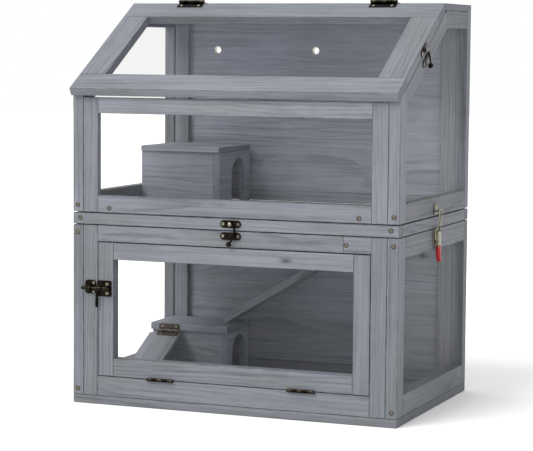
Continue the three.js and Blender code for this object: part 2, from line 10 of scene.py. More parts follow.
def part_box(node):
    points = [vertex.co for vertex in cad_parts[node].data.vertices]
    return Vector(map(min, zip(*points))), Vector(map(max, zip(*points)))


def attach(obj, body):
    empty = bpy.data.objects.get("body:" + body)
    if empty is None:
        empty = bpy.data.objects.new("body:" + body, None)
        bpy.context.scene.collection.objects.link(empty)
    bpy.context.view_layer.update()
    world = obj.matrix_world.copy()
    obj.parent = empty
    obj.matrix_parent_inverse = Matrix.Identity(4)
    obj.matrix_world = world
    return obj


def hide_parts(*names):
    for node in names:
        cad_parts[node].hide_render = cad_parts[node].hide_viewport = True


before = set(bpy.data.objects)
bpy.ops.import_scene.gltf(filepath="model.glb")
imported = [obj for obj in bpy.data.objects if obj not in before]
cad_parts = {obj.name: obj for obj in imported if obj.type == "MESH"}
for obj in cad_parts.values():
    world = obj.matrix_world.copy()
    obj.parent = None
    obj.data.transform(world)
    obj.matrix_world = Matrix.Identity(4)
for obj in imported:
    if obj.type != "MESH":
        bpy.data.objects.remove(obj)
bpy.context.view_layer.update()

MM = 0.001
RNG = random.Random(7)
X = Vector((1, 0, 0))
Y = Vector((0, 1, 0))
Z = Vector((0, 0, 1))

# Bodies, and a name passed along with the black ironmongery.
LOWER = "lower_storey"
RING = "ring_floor"
UPPER = "upper_storey"
IRON = "black_hardware"

# ---------------- CAD dimensions repeated, in mm
HALF_W = 300
HALF_D = 201
BOARD = 20
STILE = 28
SIDE_FRONT_STILE = 34
SIDE_BACK_STILE = 22
LOWER_FRONT_HOLE_Z = (49.9, 287.5)
LOWER_SIDE_HOLE_Z = (51, 280)
UPPER_SIDE_HOLE_Z = (371, 662.5)
RIDGE_Y = 40.5
SLOPE = radians(30.6)
LID_LEN = 298.4
LID_T = 15
LID_FRAME_W = 49
LID_GAP = 0.5  # between the lid and the sides below it
SLOPED_RAIL_W = 29
TOP_Z1 = 705.7
SIDE_TOP_Z = 693.3  # visible side boards; 1.1 above their CAD solid, so that no gap shows
RAMP_SLOPE = radians(31)
RAMP_T = 13
RAMP_FOOT = (-146, 108.7)  # x and z
HIDE_WALL_T = 12
HIDE_RAMP_SLOPE = radians(27)
HIDE_RAMP_T = 9
HIDE_RAMP_FOOT_Z = 14.5
HIDE_PIN = (76, 94.6)  # wall face y and pin z
DOOR_PIN = (3.4, 50.4)  # distance out from the front, and z
RING_SEAM_Z = 316.15  # middle of the gap under the ring
RAIL_SEAM_X = 203  # where the lower front's top rail is pieced
RAMP_HOLE_X = 90  # left edge of the ramp's hole in the upper floor
DOOR_KNOT = (101, 269.5)  # x and z
NO_KNOT = (9, 9, 9)  # metres, too far away to show
VENT_R = 8
VENTS = [(-195, 621), (4, 621)]
HOOK_DROP = 20.6
HOOK_OUT = 3.9
KNOB_OUT = 6.2
KNOB_R = 4.5
FRONT_HOOK_Z = 327.6
LID_HOOK_Y = -81
LID_HOOK_TURN = radians(10)
BOLT_Z = 205
BOLT_Y = -HALF_D - 6.6
SCREW_Z = 1.8  # top of the pressed plates
TOGGLE_Y = -3
TOGGLE_PIVOT = (309, 6.5)  # height, and distance out from the board
BAIL_LEG = [(11.5, 298, 4.5), (11.5, 314, 5), (2.2, 324, 9.8), (8.6, 349, 10.2)]

# ---------------- light and camera, in metres and radians
FLOOR_HALF = 14
KEY_STRENGTH = 2.5
KEY_FROM = (-0.36, -0.57, 0.74)
KEY_ANGLE = radians(38)
CAMERA_TURN = (0.3827, 0.0904, 0.008)  # yaw, pitch, roll
CAMERA_AT = (1.307333, -3.286265, 0.629442)
CAMERA_LENS = 133.85


# ---------------- material nodes
def srgb(r, g, b):
    def one(c):
        c /= 255
        return c / 12.92 if c <= 0.04045 else ((c + 0.055) / 1.055) ** 2.4
    return (one(r), one(g), one(b), 1)


class Shading:
    """A material being built, with a short method for each kind of node it needs."""

    def __init__(self, name):
        self.material = bpy.data.materials.new(name)
        self.material.use_nodes = True
        self.tree = self.material.node_tree
        self.tree.nodes.clear()
        self.out = self.node("ShaderNodeOutputMaterial")

    def node(self, kind, inputs=None, **props):
        made = self.tree.nodes.new(kind)
        for key, value in props.items():
            setattr(made, key, value)
        for key, value in (inputs or {}).items():
            socket = made.inputs[key]
            if isinstance(value, bpy.types.NodeSocket):
                self.tree.links.new(value, socket)
            else:
                socket.default_value = value
        return made

    def calc(self, operation, *values, clamp=False):
        inputs = dict(enumerate(values))
        return self.node("ShaderNodeMath", inputs, operation=operation, use_clamp=clamp).outputs[0]

    def add(self, a, b, clamp=False):
        return self.calc("ADD", a, b, clamp=clamp)

    def sub(self, a, b):
        return self.calc("SUBTRACT", a, b)

    def mul(self, a, b):
        return self.calc("MULTIPLY", a, b)

    def vector(self, operation, *values):
        return self.node("ShaderNodeVectorMath", dict(enumerate(values)), operation=operation).outputs[0]

    def parts(self, value):
        return self.node("ShaderNodeSeparateXYZ", {0: value}).outputs

    def blend(self, fac, a, b, mode="MIX"):
        inputs = {0: fac, 6: a, 7: b}
        return self.node("ShaderNodeMix", inputs, data_type="RGBA", blend_type=mode).outputs[2]

    def remap(self, value, a, b, c, d, smooth=False):
        made = self.node("ShaderNodeMapRange", {0: value, 1: a, 2: b, 3: c, 4: d})
        made.interpolation_type = "SMOOTHSTEP" if smooth else "LINEAR"
        return made.outputs[0]

    def ramp(self, fac, stops):
        made = self.node("ShaderNodeValToRGB", {0: fac})
        elements = made.color_ramp.elements
        while len(elements) < len(stops):
            elements.new(0.5)
        for element, (place, value) in zip(elements, stops):
            element.position = place
            element.color = (value, value, value, 1)
        return made.outputs[0]

    def noise(self, where, factors, detail=3.0, rough=0.55, distortion=0.0):
        """Noise over a place that is stretched by three factors, or scaled by one."""
        scale = factors
        if isinstance(factors, tuple):
            where = self.vector("MULTIPLY", where, factors)
            scale = 1.0
        return self.node("ShaderNodeTexNoise", {
            "Vector": where, "Scale": scale, "Detail": detail, "Roughness": rough,
            "Distortion": distortion}).outputs["Fac"]

    def attribute(self, name, output="Vector"):
        return self.node("ShaderNodeAttribute", attribute_name=name).outputs[output]

    def place(self):
        return self.node("ShaderNodeTexCoord").outputs["Object"]

    def geometry(self, output):
        return self.node("ShaderNodeNewGeometry").outputs[output]

    def bump(self, strength, distance, height):
        inputs = {"Strength": strength, "Distance": distance, "Height": height}
        return self.node("ShaderNodeBump", inputs).outputs[0]

    def principled(self, colour, rough, **more):
        inputs = {"Base Color": colour, "Roughness": rough}
        inputs.update({key.replace("_", " "): value for key, value in more.items()})
        return self.node("ShaderNodeBsdfPrincipled", inputs)

    def finish(self, shader):
        self.tree.links.new(shader.outputs[0], self.out.inputs[0])
        return self.material


# ---------------- materials
def wood_material(name, light, dark, ring_mm, contrast, fibre_amount, sway_mm, grime_amount=1.0):
    """Stained fir from solid tree rings: 'grain' is each board's place in its own log, X along the pith."""
    t = Shading(name)
    grain = t.attribute("grain")
    gu, gv, gw = t.parts(grain)
    ku, kv, _ = t.parts(t.attribute("knot"))

    # Distance from the pith, bent slowly along the board and pushed aside by a knot.
    sway = t.calc("MULTIPLY_ADD", t.noise(grain, (2.2, 9, 9), 2.0), sway_mm * MM, -sway_mm * MM / 2)
    ripple = t.calc("MULTIPLY_ADD", t.noise(grain, (14, 30, 30)), 0.0045, -0.00225)
    radius = t.calc("SQRT", t.add(t.calc("POWER", gv, 2), t.calc("POWER", gw, 2)))
    radius = t.add(radius, t.add(sway, ripple))
    radius = t.add(radius, t.mul(gu, 0.018))
    from_knot = t.add(t.calc("POWER", t.mul(ku, 0.45), 2), t.calc("POWER", kv, 2))
    from_knot = t.calc("SQRT", from_knot)
    push = t.calc("DIVIDE", kv, t.add(from_knot, 0.004))
    fade = t.calc("POWER", t.calc("DIVIDE", from_knot, 0.013), 2)
    fade = t.calc("EXPONENT", t.mul(fade, -1))
    radius = t.sub(radius, t.mul(t.mul(push, fade), 0.010))

    phase = t.calc("FRACT", t.calc("DIVIDE", radius, ring_mm * MM))
    ring = t.ramp(phase, [(0, 0.02), (0.45, 0.14), (0.80, 0.62), (0.93, 1.0), (1.0, 0.02)])
    strength = t.remap(t.noise(grain, (1.6, 38, 38), 2.0), 0.36, 0.66, 0.18, 1.0)
    ring = t.mul(ring, strength)

    fibre = t.noise(grain, (16, 620, 620), 4.0, 0.6)
    streak = t.noise(grain, (3.2, 165, 165), 3.0, 0.6)
    blotch = t.noise(grain, (5, 14, 14), 3.0, 0.5)
    line = t.noise(grain, (1.4, 330, 330), 2.0, 0.5)
    cloud = t.noise(grain, (30, 60, 60), 4.0, 0.6)
    amount = t.mul(ring, contrast)
    amount = t.add(amount, t.remap(fibre, 0.3, 0.7, -0.16 * fibre_amount, 0.22 * fibre_amount))
    amount = t.add(amount, t.remap(streak, 0.3, 0.75, -0.11, 0.31))
    amount = t.add(amount, t.remap(line, 0.60, 0.72, 0, 0.34))
    amount = t.add(amount, t.remap(cloud, 0.35, 0.65, -0.05, 0.07), clamp=True)
    colour = t.blend(amount, light, dark)

    # The stain sits a little warmer or bluer from place to place.
    warm = t.blend(0.5, colour, srgb(150, 154, 132), "SOFT_LIGHT")
    colour = t.blend(t.remap(blotch, 0.42, 0.64, 0, 0.85), colour, warm)

    # Knot: a dark core with tight rings and a soft halo.
    core = t.remap(from_knot, 0.0018, 0.0042, 1, 0, True)
    halo = t.mul(t.remap(from_knot, 0.003, 0.009, 1, 0, True), 0.45)
    knot_ring = t.calc("MULTIPLY_ADD", t.calc("SINE", t.mul(from_knot, 5200)), 0.25, 0.75)
    colour = t.blend(halo, colour, dark)
    colour = t.blend(t.mul(core, knot_ring), colour, srgb(66, 62, 62))

    # Distance to the nearest edge and to the sawn ends, from the board's own coordinates.
    size = t.vector("ABSOLUTE", t.attribute("local"))
    gx, gy, gz = t.parts(t.vector("SUBTRACT", t.attribute("half"), size))
    least = t.calc("MINIMUM", gx, t.calc("MINIMUM", gy, gz))
    most = t.calc("MAXIMUM", gx, t.calc("MAXIMUM", gy, gz))
    edge = t.sub(t.add(gx, t.add(gy, gz)), t.add(least, most))
    rub = t.noise(grain, (55, 90, 90), 4.0, 0.65)
    wear = t.mul(t.remap(edge, 0.0003, 0.0022, 1, 0, True), t.remap(rub, 0.42, 0.62, 0.15, 1.0))
    colour = t.blend(t.mul(wear, 0.16), colour, srgb(176, 178, 184))
    dirt = t.remap(rub, 0.3, 0.6, 0.85 * grime_amount, 0.4 * grime_amount)
    colour = t.blend(t.mul(t.remap(edge, 0.0003, 0.0014, 1, 0, True), dirt), colour, srgb(36, 38, 44))
    end = t.mul(t.calc("LESS_THAN", t.sub(gx, least), 0.00004), t.calc("LESS_THAN", gx, 0.0002))
    end_tone = t.blend(t.remap(fibre, 0.3, 0.7, 0.2, 0.9), light, dark)
    colour = t.blend(t.mul(end, 0.7), colour, t.blend(0.45, end_tone, dark))
    # Each board's random difference, and on the front's top rail and the hide boards painted light lifting
    # their shade.
    tone = t.attribute("tone", "Fac")
    shade = t.node("ShaderNodeCombineColor", {0: tone, 1: tone, 2: tone}).outputs[0]
    colour = t.blend(1.0, colour, shade, "MULTIPLY")

    height = t.calc("MULTIPLY_ADD", ring, -0.55, t.mul(fibre, 0.7))
    rough = t.add(t.remap(fibre, 0.3, 0.7, 0.56, 0.70), t.mul(wear, -0.06))
    return t.finish(t.principled(colour, rough, Specular_IOR_Level=0.32, Normal=t.bump(0.32, 0.0005, height)))


def metal_material(name, base, worn, rough, metallic, wear):
    """Plated or lacquered metal, rubbed bright in places."""
    t = Shading(name)
    where = t.place()
    speck = t.noise(where, 900.0, 4.0, 0.65)
    patch = t.noise(where, 160.0, 3.0, 0.6)
    rubbed = t.remap(t.geometry("Pointiness"), 0.52, 0.60, 0, 1)
    rubbed = t.mul(rubbed, t.remap(patch, 0.40, 0.62, 0.1, 1))
    rubbed = t.add(rubbed, t.remap(speck, 0.60, 0.74, 0, 0.45), clamp=True)
    dull = tuple(c * 0.55 for c in base[:3]) + (1,)
    tint = t.blend(t.remap(patch, 0.3, 0.7, 0, 0.6), base, dull)
    colour = t.blend(t.mul(rubbed, wear), tint, worn)
    return t.finish(t.principled(colour, t.remap(patch, 0.3, 0.7, *rough), Metallic=metallic,
                                 Normal=t.bump(0.15, 0.0002, speck)))


def acrylic_material(name, mirror_share, haze_and_sheen_low, haze_and_sheen_high, dust_and_sheen_colour):
    """Clear sheet: mostly seen through, a mirror at grazing angles, with faint smears and dust; the lid's
    stronger bluish veil is a painted sheen over the shaded inside.
    """
    t = Shading(name)
    where = t.place()
    smear = t.noise(where, (4, 4, 11), 4.0, 0.6, 0.6)
    dust = t.noise(where, 420.0, 2.0, 0.7)
    haze_and_sheen = t.add(t.remap(smear, 0.42, 0.75, haze_and_sheen_low, haze_and_sheen_high), t.remap(dust, 0.72, 0.85, 0, 0.012))
    mirror = t.node("ShaderNodeFresnel", {"IOR": 1.46}).outputs[0]
    outer = t.sub(1.0, t.geometry("Backfacing"))
    share = t.mul(t.add(t.mul(mirror, mirror_share), haze_and_sheen, clamp=True), outer)
    clear = t.node("ShaderNodeBsdfTransparent", {0: (0.990, 0.988, 0.984, 1)})
    gloss = t.principled(dust_and_sheen_colour, t.remap(smear, 0.3, 0.7, 0.02, 0.06), Specular_IOR_Level=1.0)
    return t.finish(t.node("ShaderNodeMixShader", {0: share, 1: clear.outputs[0], 2: gloss.outputs[0]}))


def vinyl_material(name, base, dark):
    """Dipped soft vinyl, slightly uneven."""
    t = Shading(name)
    where = t.place()
    flow = t.noise(where, (220, 220, 60))
    fine = t.noise(where, 1400.0)
    colour = t.blend(t.remap(flow, 0.35, 0.7, 0, 0.7), base, dark)
    uneven = t.bump(0.25, 0.0003, t.add(flow, t.mul(fine, 0.4)))
    return t.finish(t.principled(colour, t.remap(flow, 0.3, 0.7, 0.28, 0.42), Specular_IOR_Level=0.3,
                                 Normal=uneven))


FIR = wood_material("stained_fir", srgb(119, 122, 130), srgb(66, 70, 79), 5.2, 0.46, 0.7, 20)
# The inner boards have the frames' own stain; their lighter colour is painted light, lifting the shade inside
# the cage.
FIR_PANEL_PAINTED_LIGHT = wood_material("stained_fir_panel_painted_light", srgb(141, 145, 157), srgb(84, 88, 99), 6.4, 0.44, 0.8, 50, 0.3)
BLACK = metal_material("black_bronze", srgb(20, 18, 16), srgb(128, 116, 92), (0.22, 0.40), 1.0, 0.22)
BRONZE = metal_material("dark_bronze", srgb(70, 62, 56), srgb(140, 128, 112), (0.34, 0.5), 0.9, 0.4)
SCREW = metal_material("bronze_screw", srgb(104, 98, 88), srgb(186, 178, 160), (0.26, 0.46), 0.9, 0.5)
STEEL = metal_material("bright_screw", srgb(150, 144, 128), srgb(214, 206, 188), (0.24, 0.42), 0.95, 0.5)
ZINC = metal_material("yellow_zinc", srgb(142, 138, 118), srgb(226, 222, 204), (0.22, 0.42), 1.0, 0.55)
OLIVE = metal_material("olive_zinc", srgb(104, 104, 78), srgb(170, 168, 140), (0.3, 0.5), 0.9, 0.5)
CLEAR = acrylic_material("clear_acrylic", 0.40, 0.004, 0.016, srgb(190, 194, 198))
# The lid's stronger bluish veil is painted light, a sheen lifting the shade seen through the lid.
LID_CLEAR = acrylic_material("clear_acrylic_lid", 0.40, 0.018, 0.034, srgb(166, 174, 194))
RED = vinyl_material("red_vinyl", srgb(158, 10, 8), srgb(92, 4, 4))

# Hinge sizes in mm: h is the height of the pin above the leaves' backs, t their thickness.
BIG = dict(length=50, barrel=3, leaf=16, t=1.2, h=3.2, screws=(-17, 17), screw_r=2.5, slot=IRON,
           screw_mat=STEEL)
DOOR = dict(length=50, barrel=3, leaf=17, t=0.8, h=0.9, screws=(-15, 15), screw_r=2.2, slot=IRON,
            screw_mat=SCREW)
HIDE = dict(length=42, barrel=2.2, leaf=13, t=1.0, h=2.5, screws=(-14, 14), screw_r=2.0, slot="bronze_hinge",
            screw_mat=STEEL)


# ---------------- mesh helpers
def basis(origin, u=Y, v=Z):
    """Matrix whose X is u, Y is v and Z their cross product, with its origin in mm."""
    u = Vector(u).normalized()
    v = Vector(v).normalized()
    m = Matrix((u, v, u.cross(v))).transposed().to_4x4()
    m.translation = Vector(origin) * MM
    return m


def moved(x, y, z):
    return Matrix.Translation(Vector((x, y, z)) * MM)


def metres(points):
    return [(a * MM, b * MM) for a, b in points]


def add_object(name, data):
    made = bpy.data.objects.new(name, data)
    bpy.context.scene.collection.objects.link(made)
    return made


def mesh_from(bm, name):
    mesh = bpy.data.meshes.new(name)
    bm.to_mesh(mesh)
    bm.free()
    return mesh


def add_prism(bm, outline, depth, matrix, bevel=0.0, mat=0):
    """Extrudes an outline (mm) in the local XY plane from Z 0 to depth, with its sharp edges bevelled."""
    piece = bmesh.new()
    low = [piece.verts.new((a, b, 0)) for a, b in metres(outline)]
    high = [piece.verts.new((a, b, depth * MM)) for a, b in metres(outline)]
    n = len(outline)
    piece.faces.new(list(reversed(low)))
    piece.faces.new(high)
    for i in range(n):
        j = (i + 1) % n
        piece.faces.new((low[i], low[j], high[j], high[i]))
    bmesh.ops.recalc_face_normals(piece, faces=piece.faces[:])
    if bevel:
        sharp = [e for e in piece.edges if len(e.link_faces) == 2 and e.calc_face_angle(0) > radians(25)]
        bmesh.ops.bevel(piece, geom=sharp, offset=bevel * MM, offset_type="OFFSET", segments=2,
                        profile=0.6, affect="EDGES", clamp_overlap=True)
    pour(piece, bm, matrix, mat)


def pour(piece, bm, matrix, mat):
    """Moves a finished bmesh into another one."""
    piece.verts.ensure_lookup_table()
    bmesh.ops.recalc_face_normals(piece, faces=piece.faces[:])
    made = {}
    for v in piece.verts:
        made[v] = bm.verts.new(matrix @ v.co)
    for f in piece.faces:
        new = bm.faces.new([made[v] for v in f.verts])
        new.material_index = mat
    piece.free()


def add_lathe(bm, profile, matrix, sides=24, mat=0):
    """Turns a profile of (radius, height) in mm about the local Z axis; ends on the axis close it."""
    piece = bmesh.new()
    rings = []
    for r, h in metres(profile):
        if r < 1e-7:
            rings.append([piece.verts.new((0, 0, h))])
        else:
            rings.append([piece.verts.new((r * cos(a), r * sin(a), h))
                          for a in (tau * i / sides for i in range(sides))])
    for a, b in zip(rings, rings[1:]):
        for i in range(sides):
            j = (i + 1) % sides
            if len(a) == 1 and len(b) > 1:
                piece.faces.new((a[0], b[i], b[j]))
            elif len(b) == 1 and len(a) > 1:
                piece.faces.new((a[i], a[j], b[0]))
            elif len(a) > 1:
                piece.faces.new((a[i], a[j], b[j], b[i]))
    pour(piece, bm, matrix, mat)


def smooth_path(points, steps=6):
    """Catmull-Rom through the places in mm."""
    pts = [Vector(p) * MM for p in points]
    pts = [pts[0] * 2 - pts[1]] + pts + [pts[-1] * 2 - pts[-2]]
    path = []
    for i in range(1, len(pts) - 2):
        p0, p1, p2, p3 = pts[i - 1:i + 3]
        for s in range(steps):
            t = s / steps
            path.append(0.5 * (2 * p1 + (p2 - p0) * t + (2 * p0 - 5 * p1 + 4 * p2 - p3) * t * t
                               + (3 * p1 - p0 - 3 * p2 + p3) * t ** 3))
    path.append(pts[-2])
    return path


def rounded_loop(points, radius, steps=5):
    """The closed path through straight runs between places in mm, each corner turned with a small curve."""
    pts = [Vector(p) * MM for p in points]
    path = []
    for i, p in enumerate(pts):
        a = pts[i - 1] - p
        b = pts[(i + 1) % len(pts)] - p
        reach = min(radius, a.length * 0.45, b.length * 0.45)
        start, end = p + a.normalized() * reach, p + b.normalized() * reach
        for t in (k / steps for k in range(steps + 1)):
            path.append(start * (1 - t) ** 2 + p * 2 * t * (1 - t) + end * t * t)
    return path


def add_tube(bm, path, radius, matrix, sides=12, mat=0, closed=False, flat=1.0, normal=None, power=1.0):
    """Sweeps a round or squared section along a path; radius may be a function of 0..1."""
    size = radius if callable(radius) else (lambda t: radius)
    n = len(path)
    piece = bmesh.new()
    rings = []

    def squared(c):
        return copysign(abs(c) ** power, c)

    for i, p in enumerate(path):
        a = path[(i - 1) % n] if closed or i else path[i]
        b = path[(i + 1) % n] if closed or i < n - 1 else path[i]
        tangent = (b - a).normalized()
        if normal is None:
            normal = tangent.orthogonal().normalized()
        normal = (normal - tangent * normal.dot(tangent)).normalized()
        side = tangent.cross(normal)
        r = size(i / max(1, n - 1))
        rings.append([piece.verts.new(p + r * (squared(cos(t)) * normal + flat * squared(sin(t)) * side))
                      for t in (tau * k / sides for k in range(sides))])
    count = n if closed else n - 1
    for i in range(count):
        a, b = rings[i], rings[(i + 1) % n]
        for k in range(sides):
            j = (k + 1) % sides
            piece.faces.new((a[k], a[j], b[j], b[k]))
    if not closed:
        for ring, p, before in ((rings[0], path[0], path[1]), (rings[-1], path[-1], path[-2])):
            r = (ring[0].co - p).length
            d = (p - before).normalized()
            inner = [piece.verts.new(p + (v.co - p) * 0.72 + d * r * 0.32) for v in ring]
            tip = piece.verts.new(p + d * r * 0.45)
            for k in range(sides):
                j = (k + 1) % sides
                piece.faces.new((ring[k], ring[j], inner[j], inner[k]))
                piece.faces.new((inner[k], inner[j], tip))
    pour(piece, bm, matrix, mat)


def add_screw(bm, matrix, radius, mat=0, slots=4, proud=0.0004):
    """A countersunk head lying on the local XY plane, its drive recess sunk in."""
    piece = bmesh.new()
    sides = 24
    deep = 0.35
    levels = [(0.18, 1.0), (0.34, 1.0), (0.50, 0.98), (0.62, 0.95), (0.84, 0.8), (1.0, 0.0)]
    centre = piece.verts.new((0, 0, proud * (1 - 2.6 * deep)))
    rings = []
    for share, height in levels:
        ring = []
        for i in range(sides):
            a = tau * i / sides
            z = proud * height
            lobe = abs(cos(a * slots / 2))
            if share < 0.6 and lobe > 0.80:
                z -= proud * 2.6 * deep
            elif share < 0.3:
                z -= proud * 2.0 * deep
            ring.append(piece.verts.new((radius * share * cos(a), radius * share * sin(a), z)))
        rings.append(ring)
    bottom = [piece.verts.new((radius * 0.98 * cos(tau * i / sides),
                               radius * 0.98 * sin(tau * i / sides), -0.0004)) for i in range(sides)]
    rings.append(bottom)
    for i in range(sides):
        j = (i + 1) % sides
        piece.faces.new((centre, rings[0][i], rings[0][j]))
        for a, b in zip(rings, rings[1:]):
            piece.faces.new((a[i], b[i], b[j], a[j]))
    piece.faces.new(list(reversed(bottom)))
    pour(piece, bm, matrix, mat)


def finish_piece(mesh, name, body, materials, slot_name, replaced=(), smooth_deg=38, matrix=None):
    """Makes the mesh a piece that rides on its body, in its place if a matrix is given."""
    for m in materials:
        mesh.materials.append(m)
    for p in mesh.polygons:
        p.use_smooth = True
    mesh.set_sharp_from_angle(angle=radians(smooth_deg))
    made = add_object(name, mesh)
    if matrix is not None:
        made.matrix_world = matrix
        # Keeps the shading of large faces flat beside their small rounded edges.
        even = made.modifiers.new("normals", "WEIGHTED_NORMAL")
        even.keep_sharp = True
        even.weight = 90
    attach(made, body)
    if replaced:
        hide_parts(*replaced)


def finish_mesh(bm, name, *how):
    finish_piece(mesh_from(bm, name), name, *how)


# ---------------- boards
def cut_place(kind):
    """Where in its log a board was cut: its centre's place across the grain, in metres."""
    if kind == "flat":
        return Vector((0, RNG.uniform(-0.012, 0.012), RNG.uniform(0.035, 0.075)))
    if kind == "rift":
        return Vector((0, RNG.choice((-1, 1)) * RNG.uniform(0.035, 0.06), RNG.uniform(0.04, 0.08)))
    return Vector((0, RNG.choice((-1, 1)) * RNG.uniform(0.07, 0.11), RNG.uniform(0.005, 0.03)))


def drilled(mesh, centres):
    """The board with a vent hole through its thickness (its Y) at each (x, z) in its own mm."""
    bm = bmesh.new()
    for x, z in centres:
        add_lathe(bm, [(0, -40), (VENT_R, -40), (VENT_R, 40), (0, 40)], basis((x, 0, z), X, Z), 32)
    made = add_object("drilled", mesh)
    tool = add_object("drill", mesh_from(bm, "drill"))
    cutter = made.modifiers.new("vent", "BOOLEAN")
    cutter.operation = "DIFFERENCE"
    cutter.solver = "EXACT"
    cutter.object = tool
    bpy.context.view_layer.update()
    solid = bpy.data.meshes.new_from_object(made.evaluated_get(bpy.context.evaluated_depsgraph_get()))
    bpy.data.objects.remove(made)
    bpy.data.objects.remove(tool)
    return solid


def plank(name, body, outline, depth, matrix, grain, cut=None, tone=None, bevel=0.9, mat=FIR, knot=None,
          vents=(), replaced=()):
    """A board from an outline (mm) in a local plane, depth mm thick; grain is the local axis it follows."""
    bm = bmesh.new()
    add_prism(bm, outline, depth, Matrix.Identity(4), bevel)
    mesh = mesh_from(bm, name)
    if vents:
        mesh = drilled(mesh, vents)
    low = Vector([min(v.co[i] for v in mesh.vertices) for i in range(3)])
    high = Vector([max(v.co[i] for v in mesh.vertices) for i in range(3)])
    mid, size = (low + high) / 2, (high - low) / 2
    order = [grain] + sorted((i for i in range(3) if i != grain), key=lambda i: -size[i])
    if cut is None:
        cut = RNG.choice(("flat", "rift", "rift", "quarter"))
    shift = cut_place(cut) + Vector((RNG.uniform(-20, 20), 0, 0))
    if tone is None:
        tone = RNG.uniform(0.955, 1.045)
    values = {"grain": [], "local": [], "half": [], "knot": []}
    for v in mesh.vertices:
        c = v.co - mid
        c = Vector([c[i] for i in order])
        values["local"].extend(c)
        values["grain"].extend(c + shift)
        values["half"].extend([size[i] for i in order])
        values["knot"].extend(c - Vector((knot[0] * MM, knot[1] * MM, 0)) if knot else NO_KNOT)
    for key, data in values.items():
        mesh.attributes.new(key, "FLOAT_VECTOR", "POINT").data.foreach_set("vector", data)
    tones = [tone] * len(mesh.vertices)
    mesh.attributes.new("tone", "FLOAT", "POINT").data.foreach_set("value", tones)
    finish_piece(mesh, name, body, [mat], "painted_wood", replaced, 50, matrix)


def board(name, body, xs, ys, zs, grain, cut=None, tone=None, **how):
    """An upright board from its limits in mm."""
    w, d, h = xs[1] - xs[0], ys[1] - ys[0], zs[1] - zs[0]
    outline = [(0, 0), (w, 0), (w, d), (0, d)]
    plank(name, body, outline, h, moved(xs[0], ys[0], zs[0]), "xyz".index(grain), cut, tone, **how)


def boards(body, node_name, rows, **how):
    """The boards that stand for one CAD node: rows of name, x, y and z limits, grain, cut and tone, which is a
    random tone with painted light on some boards.
    """
    for i, (name, *row) in enumerate(rows):
        board(name, body, *row, replaced=() if i else [node_name], **how)


def yz_board(name, body, outline, xs, grain, cut, tone=None, **how):
    """A board lying in an upright YZ plane, between two places along X."""
    plank(name, body, outline, xs[1] - xs[0], basis((xs[0], 0, 0)), grain, cut, tone, **how)


def sloped_board(name, body, points, slope, depth, level, **how):
    """A board cut in a frame turned by its slope from a level axis, so that its grain runs with it."""
    origin = points[0]
    along = level * cos(slope) + Z * sin(slope)
    across = Z * cos(slope) - level * sin(slope)
    outline = [((p - origin).dot(along), (p - origin).dot(across)) for p in points]
    plank(name, body, outline, depth, basis(origin, along, across), 0, "rift", **how)


def limits(node_name):
    """A CAD node's limits in mm: (x0, x1), (y0, y1), (z0, z1)."""
    low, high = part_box(node_name)
    return [(low[i] / MM, high[i] / MM) for i in range(3)]


# ---------------- lower storey
def build_lower():
    body = LOWER
    boards(body, "base_board", [("base_board_panel", *limits("base_board"), "x", "rift", 0.93)], bevel=1.2)
    fx, fy, fz = limits("lower_front_frame")
    open_x = HALF_W - BOARD - STILE
    z0, z1 = LOWER_FRONT_HOLE_Z
    boards(body, "lower_front_frame", [
        ("lower_front_stile_left", (fx[0], -open_x), fy, fz, "z", "rift", 0.93),
        ("lower_front_stile_right", (open_x, fx[1]), fy, fz, "z", "quarter", 0.88),
        ("lower_front_bottom_rail", (-open_x, open_x), fy, (fz[0], z0), "x", "rift", 0.93),
        ("lower_front_top_rail", (-open_x, RAIL_SEAM_X), fy, (z1, fz[1]), "x", "flat", 0.95),
        ("lower_front_top_rail_end", (RAIL_SEAM_X, open_x), fy, (z1, fz[1]), "x", "rift", 0.98)])
    z0, z1 = LOWER_SIDE_HOLE_Z
    for end in ("right", "left"):
        sx, sy, sz = limits(f"lower_side_frame_{end}")
        y0, y1 = sy[0] + SIDE_FRONT_STILE, sy[1] - SIDE_BACK_STILE
        boards(body, f"lower_side_frame_{end}", [
            (f"lower_side_front_stile_{end}", sx, (sy[0], y0), sz, "z", "rift", 0.90),
            (f"lower_side_back_stile_{end}", sx, (y1, sy[1]), sz, "z", "quarter", 0.84),
            (f"lower_side_bottom_rail_{end}", sx, (y0, y1), (sz[0], z0), "y", "flat", 0.82),
            (f"lower_side_top_rail_{end}", sx, (y0, y1), (z1, sz[1]), "y", "rift", 0.80)])
    back_frame("lower", body, STILE, planks=2, knot=(219, 246))


def back_frame(prefix, body, top_rail, planks, vents=(), knot=None):
    """Back wall: a frame of stiles and rails with wide boards let in behind its inner face."""
    node_name = f"{prefix}_back_wall"
    wx, wy, wz = limits(node_name)
    middle = wy[0] + BOARD / 2
    frame_y = (wy[0], middle)
    inner = (wx[0] + STILE, wx[1] - STILE)
    boards(body, node_name, [
        (f"{prefix}_back_stile_left", (wx[0], inner[0]), frame_y, wz, "z", "quarter", 0.97),
        (f"{prefix}_back_stile_right", (inner[1], wx[1]), frame_y, wz, "z", "rift", 0.99),
        (f"{prefix}_back_bottom_rail", inner, frame_y, (wz[0], wz[0] + BOARD), "x", "rift"),
        (f"{prefix}_back_top_rail", inner, frame_y, (wz[1] - top_rail, wz[1]), "x", "quarter")])
    step = (wz[1] - wz[0]) / planks
    for i in range(planks):
        z = (wz[0] + i * step, wz[0] + (i + 1) * step)
        here = None
        if knot and z[0] < knot[1] < z[1]:
            here = (knot[0] - (wx[0] + wx[1]) / 2, knot[1] - (z[0] + z[1]) / 2)
        holes = [(x - wx[0], zc - z[0]) for x, zc in vents if z[0] < zc < z[1]]
        board(f"{prefix}_back_panel_{i + 1}", body, wx, (middle, wy[1]), z, "x", "flat",
              RNG.uniform(0.97, 1.03), mat=FIR_PANEL_PAINTED_LIGHT, bevel=0.4, knot=here, vents=holes)


